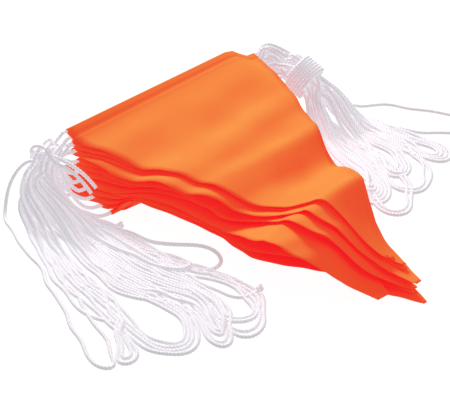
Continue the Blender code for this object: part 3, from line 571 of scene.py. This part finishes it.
WANDER = 1.3                # sideways waves of the strands: height, lengths and shares
WANDER_WAVES = ((9.5, 1.0), (5.7, 0.6))
WANDER_SEED = 9
WANDER_STARTS = 6.28        # each wave starts at a random place below this, radians
WANDER_BELOW = 26.0         # they begin below this height and grow over this much
WANDER_OVER = 14.0
WANDER_ENDS = 60.0          # and grow over this length from either end
SETTLE_STEP = 5.0           # between the points of a route that is settled
SETTLE_ROUNDS = 90
APART = 3.85                # the settled strands' middle lines lie this far apart
NEAR = 4.0                  # pairs this much farther apart than a cord are watched
SAME_STRAND = 3             # points of one strand this near along it don't push
WATCH_EVERY = 8             # rounds between two searches for near pairs
PUSH = 0.4                  # share of an overlap that one round moves each point
LEAST_FAR = 0.2
FARTHEST_MOVE = 1.0         # in one round
SINK = 0.22                 # in one round, of points that start low
SINK_BELOW = 34.0
SINK_OVER = 20.0
SOFTEN_EVERY = 30           # rounds between two softenings, and the first one's round
SOFTEN_FIRST = 10
HELD_POINTS = 3             # at either end of a strand that stay where they are
LEFT_SEED = 3               # for the strands' order in the ties
RIGHT_SEED = 4


def in_section(section, place):
    """A strand's point in a section of the gathered strands, from its place across and up.

    The section's upper side is half an ellipse that stands on a straight edge.
    """
    outer_x, outer_y, inner_x, inner_y, lowest, highest = section
    across, up = place[:2]
    crown = CROWN_EDGE + (1.0 - CROWN_EDGE) * math.sqrt(max(1.0 - (2.0 * across - 1.0) ** 2, 0.0))
    z = lowest + CORD / 2.0 + up * max((highest - lowest - CORD) * crown, 0.0)
    return (outer_x + (inner_x - outer_x) * across, outer_y + (inner_y - outer_y) * across, z)


def tie_axes(tie):
    """Unit directions along a tie's strands, level across them, and up across them."""
    along = np.array(tie[4:7], float)
    along /= np.linalg.norm(along)
    side = np.cross(along, (0.0, 0.0, 1.0))
    side /= np.linalg.norm(side)
    return along, side, np.cross(side, along)


def in_tie(tie, place, count):
    """Two points of a strand as it passes straight through the tie.

    The strands' places fill a disc: the n-th is at radius * sqrt((n + 1/2) / count), turned n
    golden turns.
    """
    along, side, up = tie_axes(tie)
    before = LEFT_STRAIGHT if tie is LEFT_TIE else RIGHT_STRAIGHT
    reach = tie[3] * math.sqrt((place + 0.5) / count)
    turn = place * GOLDEN_TURN
    middle = np.array(tie[:3], float) + reach * (math.cos(turn) * side + math.sin(turn) * up)
    return [tuple(middle - along * before), tuple(middle + along * before)]


def fold_at_tie(tie, place, after, count):
    """The fold of a strand that comes out of the tie, turns and goes through it again."""
    along = tie_axes(tie)[0]
    come = np.array(in_tie(tie, place, count)[0])
    leave = np.array(in_tie(tie, after, count)[0])
    apart = np.linalg.norm(leave - come)
    aside = (leave - come) / apart * max(apart / 2.0, FOLD_RADIUS)
    middle = (come + leave) / 2.0 - along * FOLD_OUT
    return [tuple(middle - aside), tuple(middle - along * FOLD_RADIUS), tuple(middle + aside)]


def second_turn(out, back, end):
    """A loop's places and end points for its second turn, inside and on top of the first."""
    inward = SECOND_ACROSS if back[0] > out[0] else -SECOND_ACROSS
    out = (out[0] + inward, min(out[1] + SECOND_UP, 1.0), out[2])
    back = (back[0] - inward, min(back[1] + SECOND_UP, 1.0), back[2])
    points = np.array(end, float)
    middle = points[:, :2].mean(axis=0)
    away = points[:, :2] - middle
    far = np.linalg.norm(away, axis=1, keepdims=True)
    points[:, :2] = middle + away * np.maximum(1.0 - SECOND_INSET / far, SECOND_LEAST)
    points[:, 2] += SECOND_LIFT
    return out, back, [tuple(point) for point in points]


def left_lead(number):
    """From inside the left end of a pennant's hem towards the left tie."""
    x, y = PENNANTS[number][0], PENNANTS[number][1] - HEM_IN
    z = float(sheet_height(number, x, y))
    points = [(x + IN_HEM, y, z), (x - LEAD_GAP, y, z),
              (x - LEFT_LEAD_OUT, y - LEFT_LEAD_BEND, z + LEFT_LEAD_BEND)]
    if number < RISING_LEADS:
        points.append((LEFT_RISE_X - LEFT_RISE_APART * (number % 3),
                       LEFT_RISE_Y[0] * y + LEFT_RISE_Y[1], LEFT_RISE_Z[0] * z + LEFT_RISE_Z[1]))
    return points


def right_lead(number):
    """From inside the right end of a pennant's hem, up and over towards the right tie."""
    x, y = PENNANTS[number][2], PENNANTS[number][3] - HEM_IN
    z = float(sheet_height(number, x, y))
    level = level_of(number)
    over = (RIGHT_OVER_X + RIGHT_OVER_APART * (number % 3),
            RIGHT_OVER_Y[0] + RIGHT_OVER_Y[1] * (1.0 - level),
            RIGHT_OVER_Z[0] + RIGHT_OVER_Z[1] * level)
    return [(x - IN_HEM, y, z), (x + LEAD_GAP, y, z),
            (max(x + RIGHT_LEAD_OUT, LEAD_CLEAR_X), y, z + RIGHT_LEAD_RISE * level), over]


def through_sections(sections, place, first=0):
    """A strand's points in the sections that it passes, from the first of them on."""
    return [in_section(section, place) for section in sections[first:place[2]]]


def strand_routes(tie, sections, loops, twice, lead, free_ends, order):
    """Middle lines of all strands of a hank: pennant, tie, sections, loop and back again."""
    count = len(order)
    places = iter(order)
    routes = []
    for number, out, back, end in loops:
        way = lead(number) + in_tie(tie, next(places), count)
        if lead is left_lead and number == WIDE_LOOP:
            way += WIDE_SWING + through_sections(sections, out, WIDE_JOINS)
        else:
            way += through_sections(sections, out)
        way += end + through_sections(sections, back)[::-1]
        place = next(places)
        way += in_tie(tie, place, count)[::-1]
        if number in twice:
            after = next(places)
            out, back, end = second_turn(out, back, end)
            way += fold_at_tie(tie, place, after, count) + in_tie(tie, after, count)
            way += through_sections(sections, out)
            way += end + through_sections(sections, back)[::-1]
            way += in_tie(tie, next(places), count)[::-1]
        routes.append(smooth_route(way + lead(number + 1)[::-1], SETTLE_STEP))
    for number, out, end in free_ends:
        way = lead(number) + in_tie(tie, next(places), count)
        routes.append(smooth_route(way + through_sections(sections, out) + end, SETTLE_STEP))
    return routes


def wandering(routes):
    """Each route with a small sideways wave where it lies low, each with its own phase."""
    random = np.random.default_rng(WANDER_SEED)
    phases = random.uniform(0.0, WANDER_STARTS, (len(routes), len(WANDER_WAVES)))
    waved = []
    for route, phase in zip(routes, phases):
        along = np.arange(len(route)) * SETTLE_STEP
        ahead = np.gradient(route, axis=0)
        aside = np.stack([ahead[:, 1], -ahead[:, 0], 0.0 * along], 1)
        aside /= np.maximum(np.linalg.norm(aside, axis=1, keepdims=True), SMALLEST)
        free = eased((WANDER_BELOW - route[:, 2]) / WANDER_OVER)
        free = free * eased(along / WANDER_ENDS) * eased((along[-1] - along) / WANDER_ENDS)
        wave = WANDER * sum(share * np.sin(along / length + start)
                            for (length, share), start in zip(WANDER_WAVES, phase))
        waved.append(route + aside * (wave * free)[:, None])
    return waved


def softened(points, k, times=1):
    """The points k drawn half-way towards the middle of their neighbours."""
    for _ in range(times):
        drawn = points.copy()
        drawn[k] = 0.5 * points[k] + 0.25 * (points[k - 1] + points[k + 1])
        points = drawn
    return points


def settled(routes, free_ends=0):
    """The strands lowered under their weight and pushed apart until none lies in another.

    Every round, each pair of points nearer than a cord's thickness is moved apart along the
    line between them, each low point sinks a little, and the moves are smoothed along the
    strands; no point goes below the floor.
    """
    points = np.vstack(routes)
    start = points.copy()
    own = np.repeat(np.arange(len(routes)), [len(route) for route in routes])
    place = np.concatenate([np.arange(len(route)) for route in routes])
    last = np.array([len(route) - 1 for route in routes])[own]
    held = (place < HELD_POINTS) | ((place > last - HELD_POINTS) & (own < len(routes) - free_ends))
    sink = SINK * np.clip((SINK_BELOW - start[:, 2]) / SINK_OVER, 0.0, 1.0) * ~held
    inner = (place > 0) & (place < last)
    k = np.nonzero(inner & ~held)[0]
    for turn in range(SETTLE_ROUNDS):
        if turn % WATCH_EVERY == 0:
            flat = points.astype(np.float32)
            square = (flat ** 2).sum(1)
            apart = square[:, None] + square[None, :] - 2.0 * flat @ flat.T
            i, j = np.nonzero(np.triu(apart < (CORD + NEAR) ** 2, 1))
            keep = (own[i] != own[j]) | (np.abs(place[i] - place[j]) > SAME_STRAND)
            i, j = i[keep], j[keep]
        between = points[i] - points[j]
        far = np.linalg.norm(between, axis=1)
        push = np.maximum(APART - far, 0.0) / np.maximum(far, LEAST_FAR) * PUSH
        move = np.zeros_like(points)
        np.add.at(move, i, between * push[:, None])
        np.add.at(move, j, -between * push[:, None])
        size = np.linalg.norm(move, axis=1, keepdims=True)
        move *= np.minimum(1.0, FARTHEST_MOVE / np.maximum(size, SMALLEST))
        points += move * ~held[:, None]
        points[:, 2] -= sink
        shift = points - start
        shift[held] = 0.0
        points = start + softened(shift, k)
        points[:, 2] = np.maximum(points[:, 2], ROPE_RADIUS)
        if turn % SOFTEN_EVERY == SOFTEN_FIRST:
            start, points = softened(start, k), softened(points, k)
    return [points[own == number] for number in range(len(routes))]


def rope(name, route, finish, radius=ROPE_RADIUS):
    """A laid cord along a route.

    Ring by ring round the line, the distance from it is the radius less a groove that comes
    three times round, radius * (1 - g + g * cos(3 a)), and the rings turn once per lay length.
    The rings' own direction is the horizontal side of the line, less the turn that this
    direction makes about the line, so that the section doesn't spin where the line is steep.
    """
    line = smooth_route(route, RING_STEP)
    ahead = np.gradient(line, axis=0)
    ahead /= np.linalg.norm(ahead, axis=1, keepdims=True)
    side = np.cross(ahead, (0.0, 0.0, 1.0)) + SMALLEST
    side /= np.linalg.norm(side, axis=1, keepdims=True)
    up = np.cross(ahead, side)
    carried = side[:-1] - (side[:-1] * ahead[1:]).sum(1, keepdims=True) * ahead[1:]
    spin = np.arctan2((carried * up[1:]).sum(1), (carried * side[1:]).sum(1))
    spin = np.concatenate([[0.0], np.cumsum(spin)])
    length = np.concatenate([[0.0], np.cumsum(np.linalg.norm(np.diff(line, axis=0), axis=1))])
    around = np.arange(RING_POINTS) * 2.0 * math.pi / RING_POINTS
    out = radius * (1.0 - GROOVE + GROOVE * np.cos(STRANDS * around))
    turn = around[None, :] + (spin + 2.0 * math.pi * length / LAY_LENGTH)[:, None]
    points = (line[:, None, :] + out[None, :, None] * (np.cos(turn)[:, :, None] * side[:, None, :]
                                                      + np.sin(turn)[:, :, None] * up[:, None, :]))
    first = np.repeat(line[:1, None, :], RING_POINTS, axis=1)
    end = np.repeat(line[-1:, None, :], RING_POINTS, axis=1)
    points = np.concatenate([first, points, end])
    run = np.concatenate([length[:1], length, length[-1:]]) * MM
    uv = np.stack(np.broadcast_arrays(run[:, None], around[None, :] * radius * MM), -1)
    piece = grid_mesh(name, points, finish, closed_round=True, uv=uv)
    close_ends(piece)
    return piece, line, length[-1] * MM


def close_ends(piece):
    """Merges the points of each collapsed end ring, and turns all faces outwards."""
    body = bmesh.new()
    body.from_mesh(piece.data)
    bmesh.ops.remove_doubles(body, verts=body.verts[:], dist=MERGE_WITHIN)
    bmesh.ops.recalc_face_normals(body, faces=body.faces[:])
    body.to_mesh(piece.data)
    body.free()


def free_cord(name, route, finish, replaced):
    """One cord that rides on the stack and stands for its hank's or tie's solid."""
    piece, line, length = rope(name, route, finish)
    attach(piece, "root")
    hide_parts(replaced)


def knot(name, middle, finish):
    """An overhand knot drawn tight: the cord follows a trefoil that leans over.

    The trefoil is (sin t + 2 sin 2t, cos t - 2 cos 2t, -depth * sin 3t).
    """
    t = np.linspace(0.0, 2.0 * math.pi, KNOT_POINTS)
    x = np.sin(t) + 2.0 * np.sin(2.0 * t)
    y = np.cos(t) - 2.0 * np.cos(2.0 * t)
    z = -KNOT_DEPTH * np.sin(3.0 * t)
    low, high = math.cos(KNOT_LEAN), math.sin(KNOT_LEAN)
    curve = np.stack([x, y * low - z * high, y * high + z * low], 1)
    piece, _, _ = rope(name, np.array(middle, float) + curve * KNOT_SIZE, finish,
                       radius=CORD * KNOT_RADIUS)
    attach(piece, "root")
    return piece


def add_hanks(finish):
    """Both hanks: their strands are routed, waved and settled together, each hank by itself."""
    order = np.random.default_rng(LEFT_SEED).permutation(
        2 * (len(LEFT_LOOPS) + len(LEFT_TWICE)) + len(FREE_ENDS))
    left = strand_routes(LEFT_TIE, LEFT_SECTIONS, LEFT_LOOPS, LEFT_TWICE, left_lead, FREE_ENDS, order)
    left = settled(wandering(left), free_ends=len(FREE_ENDS))
    for number, route in enumerate(left[:len(LEFT_LOOPS)]):
        free_cord("left_hairpin_%d" % (number + 1), route, finish, "hank_left")
    for number, route in enumerate(left[len(LEFT_LOOPS):]):
        nub = (route[-1][0], route[-1][1], max(route[-1][2], KNOT_HEIGHT))
        end_knot = knot("end_knot_%d" % (number + 1), nub, finish)
        free_cord("line_end_%d" % (number + 1), route, finish, "hank_left")
    order = np.random.default_rng(RIGHT_SEED).permutation(
        2 * (len(RIGHT_LOOPS) + len(RIGHT_TWICE)))
    right = strand_routes(RIGHT_TIE, RIGHT_SECTIONS, RIGHT_LOOPS, RIGHT_TWICE, right_lead, [], order)
    right = settled(wandering(right))
    for number, route in enumerate(right):
        free_cord("right_hairpin_%d" % (number + 1), route, finish, "hank_right")


def round_tie(tie, turn, reach, step):
    """A point round a tie: turn in degrees, distance from its middle, step along the strands."""
    along, side, up = tie_axes(tie)
    angle = math.radians(turn)
    out = math.cos(angle) * side + math.sin(angle) * up
    return tuple(np.array(tie[:3], float) + reach * out + step * along)


def add_ties(finish):
    """The left tie is one knotted turn with two tails; the right one is wound seven times round."""
    reach = LEFT_TIE[3] + TIE_CLEAR + CORD / 2.0
    turns = np.linspace(*TIE_TURN, TIE_RING_POINTS)
    steps = np.linspace(-CORD * TIE_STEP, CORD * TIE_STEP, TIE_RING_POINTS)
    ring = [round_tie(LEFT_TIE, turn, reach, step) for turn, step in zip(turns, steps)]
    over = [round_tie(LEFT_TIE, turn, reach + out, step) for turn, out, step in TIE_CROSSING]
    route = smooth_route(TAIL_A[::-1] + ring + over + TAIL_B, TIE_ROUTE_STEP)
    route = softened(route, np.arange(1, len(route) - 1), times=TIE_SOFTENED)
    free_cord("tie_cord_left", route, finish, "tie_left")
    reach = RIGHT_TIE[3] + WRAP_CLEAR + CORD / 2.0
    count = WRAP_TURNS * WRAP_TURN_POINTS
    turns = np.linspace(0.0, 360.0 * WRAP_TURNS, count)
    steps = np.linspace(-0.5, 0.5, count) * (WRAP_TURNS - 1) * WRAP_PITCH
    route = [round_tie(RIGHT_TIE, turn, reach, step) for turn, step in zip(turns, steps)]
    free_cord("tie_cord_right", route, finish, "tie_right")


# ---------------------------------------------------------------- pennants
ACROSS_POINTS = 25
DOWN_STEP = 3.6             # from one row of points down a pennant to the next
ROWS_END = 18.0             # the last of these rows' distance from the top edge
# The hem in section: distance from the top edge, offset above the sheet's middle
HEM_OVER = [(14.0, 0.0), (12.4, 0.35), (SEAM_IN, -0.4), (8.7, 0.75), (6.0, 1.4)]
HEM_UNDER = [(6.0, -1.35), (8.0, -0.9), (SEAM_IN, -0.35), (12.6, -0.42)]
HEM_ROUND = 1.9             # radius round the cord, and the turns of its points, degrees
HEM_ROUND_TURNS = (55, 85, 115, 145, 180, 215, 245, 275, 305)
# Waves of the edges: height, and radians per millimetre of the front and of the far edge
EDGE_WAVES = ((0.5, 0.09, 0.08), (0.35, 0.23, 0.25))
EDGE_STARTS = 6.3           # each wave starts at a random place below this, radians
EDGE_SEED = 100             # of the lowest pennant; the next ones follow
# Creases: they grow from the hem, and the swells also grow from the front edge
CREASES_FROM = 12.0
CREASES_OVER = 50.0
INWARD_FROM = 115.0         # of x, which moves with y as the front edge does
INWARD_SLANT = 0.36
INWARD_OVER = 50.0
# Swells and hollows: height, distance from the hem line, slant, half their length
SWELLS = [(2.4, 152.0, 0.0, 24.0), (-2.0, 187.0, 0.0, 22.0),
          (1.1, 104.0, 0.1, 20.0), (-0.9, 126.0, 0.1, 16.0)]
# Waves: height, radians per millimetre of x and of y, start, and its change with the level
CREASE_WAVES = [(0.55, 0.055, -0.11, 0.0, 1.2), (0.45, 0.105, 0.06, 2.0, 0.8)]
RIPPLE = (0.22, 0.21, -0.17, 0.5)  # a shorter wave, which comes and goes along y
RIPPLE_ALONG = (0.03, 1.0)


def side_x(corner, tip_x, tip_y, y):
    """Where a slanting side of a pennant is at a row."""
    start = corner[1] - HEM_END
    return corner[0] + (tip_x - corner[0]) * np.clip((start - y) / (start - tip_y), 0.0, 1.0)


def stands_out(number, distance):
    """How far the front edge of a pennant stands out of its straight side at a distance."""
    after = int(np.clip(np.searchsorted(GUIDES, number, side="right"), 1, len(GUIDES) - 1))
    lower = through_rows(FRONT_OUT, after, distance)
    upper = through_rows(FRONT_OUT, after + 1, distance)
    if number in GUIDES:
        return lower if number == GUIDES[after - 1] else upper
    return np.minimum(lower, upper) - LIE_BACK * hump((distance - LIE_BACK_AT) / LIE_BACK_REACH)


def sides(number, y):
    """Front and far side of a pennant at a row, with the places where its front stands out."""
    left_x, left_y, right_x, right_y, tip_x, tip_y = PENNANTS[number]
    tip = WIDE_TIP[1] if number == WIDE_TIP[0] else TIP
    left = side_x((left_x, left_y), tip_x - tip / 2.0, tip_y, y)
    right = side_x((right_x, right_y), tip_x + tip / 2.0, tip_y, y)
    return left - stands_out(number, -y), right - through_rows(FAR_IN, 1, -y)


def creases(level, x, y):
    """Small soft creases that all sheets share: crossing waves that fade at the hem.

    The deepest is a step that runs from the front edge's trough to the far side: a swell above
    it and a hollow below it, both growing with the distance from the front edge.
    """
    fade = eased((-y - CREASES_FROM) / CREASES_OVER) * level
    inward = eased((x + INWARD_FROM + INWARD_SLANT * y) / INWARD_OVER)
    swells = sum(height * hump((y + at - slant * x) / reach) for height, at, slant, reach in SWELLS)
    waves = sum(height * np.sin(per_x * x + per_y * y + start + change * level)
                for height, per_x, per_y, start, change in CREASE_WAVES)
    height, per_x, per_y, start = RIPPLE
    ripple = height * np.sin(per_x * x + per_y * y + start)
    ripple = ripple * np.sin(RIPPLE_ALONG[0] * y + RIPPLE_ALONG[1])
    return fade * (waves + ripple + swells * inward)


def pennant(number, finish):
    """A woven triangle whose hem is turned round the cord and sewn down.

    Rows run from the tip to the hem, round the cord and back to the seam; columns run from
    side to side.  A point's height is the stack's height for its level over its plan place.
    """
    _, left_y, _, right_y, _, tip_y = PENNANTS[number]
    across = np.linspace(0.0, 1.0, ACROSS_POINTS)
    edge = left_y + (right_y - left_y) * across
    drop = edge.mean() - tip_y
    steps = int((drop - ROWS_END) / DOWN_STEP)
    down = np.linspace(1.0, ROWS_END / drop, steps)[:, None]
    rows_y = edge[None, :] + (tip_y - edge)[None, :] * down
    hem_y = [edge - distance for distance, _ in HEM_OVER]
    hem_lift = [np.full(ACROSS_POINTS, offset) for _, offset in HEM_OVER]
    for turn in np.radians(HEM_ROUND_TURNS):
        hem_y.append(edge - HEM_IN - HEM_ROUND * math.cos(turn))
        hem_lift.append(np.full(ACROSS_POINTS, HEM_ROUND * math.sin(turn)))
    hem_y += [edge - distance for distance, _ in HEM_UNDER]
    hem_lift += [np.full(ACROSS_POINTS, offset) for _, offset in HEM_UNDER]
    y = np.vstack([rows_y, hem_y])
    lift = np.vstack([np.zeros_like(rows_y), hem_lift])
    left, right = sides(number, y)
    random = np.random.default_rng(EDGE_SEED + number)
    starts = random.uniform(0.0, EDGE_STARTS, (2, len(EDGE_WAVES)))
    for (height, per_left, per_right), start in zip(EDGE_WAVES, starts.T):
        left = left + height * np.sin(per_left * y + start[0])
        right = right + height * np.sin(per_right * y + start[1])
    x = left + (right - left) * across[None, :]
    in_hem = edge[None, :] - y < HEM_OVER[0][0]
    flat_y = np.where(in_hem, np.minimum(y, edge[None, :] - HEM_IN), y)
    z = sheet_height(number, x, flat_y) + lift + creases(level_of(number), x, y)
    points = np.stack([x, y, z], -1)
    run = np.cumsum(np.linalg.norm(np.diff(points[:, ACROSS_POINTS // 2], axis=0), axis=1))
    run = np.concatenate([[0.0], run])
    uv = np.stack(np.broadcast_arrays(x * MM, run[:, None] * MM), -1)
    piece = grid_mesh("cloth_%02d" % (number + 1), points, finish, uv=uv)
    thick = piece.modifiers.new("cloth", "SOLIDIFY")
    thick.thickness = CLOTH * MM
    thick.offset = 0.0
    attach(piece, "root")
    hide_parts("pennant_%02d" % (number + 1))


# ---------------------------------------------------------------- studio, metres and watts
FLOOR_HALF = 4.0
FLOOR_DROP = 0.0002         # below the object's lowest point
# Round lights that look at the object's middle: name, place, width, power
LIGHTS = [("window", (0.45, 1.65, 1.45), 0.8, 61.0), ("fill", (0.35, -1.5, 1.1), 1.0, 3.0)]
SKY = {"Color": (1.0, 1.0, 1.0, 1.0), "Strength": 0.23}


def add_floor():
    """A white floor that glows by itself, so that it stays white and throws no light back."""
    mesh = bpy.data.meshes.new("floor")
    corners = [(-1, -1), (1, -1), (1, 1), (-1, 1)]
    mesh.from_pydata([(x * FLOOR_HALF, y * FLOOR_HALF, 0.0) for x, y in corners], [], [(0, 1, 2, 3)])
    mesh.materials.append(plain("floor_white", FLOOR_LOOK))
    floor = bpy.data.objects.new("floor", mesh)
    floor.location.z = -FLOOR_DROP
    floor.visible_diffuse = False
    bpy.context.collection.objects.link(floor)


def add_light(name, place, width, power):
    """A round area light at a place, turned so that it shines on the origin."""
    lamp = bpy.data.lights.new(name, "AREA")
    lamp.shape = "DISK"
    lamp.size = width
    lamp.energy = power
    light = bpy.data.objects.new(name, lamp)
    light.location = place
    x, y, z = place
    light.rotation_euler = (math.atan2(math.hypot(x, y), z), 0.0, math.atan2(-y, -x) - math.pi / 2.0)
    bpy.context.collection.objects.link(light)


def add_studio():
    """The floor, the lights and an even white sky."""
    add_floor()
    for name, place, width, power in LIGHTS:
        add_light(name, place, width, power)
    world = bpy.data.worlds.new("studio")
    world.use_nodes = True
    set_sockets(world.node_tree.nodes["Background"], SKY)
    bpy.context.scene.world = world
    bpy.context.scene.view_settings.view_transform = "Standard"


add_camera()
cord_finish = white_cord()
add_hanks(cord_finish)
add_ties(cord_finish)
cloth_finish = orange_cloth()
for flag in range(len(PENNANTS)):
    pennant(flag, cloth_finish)
add_studio()
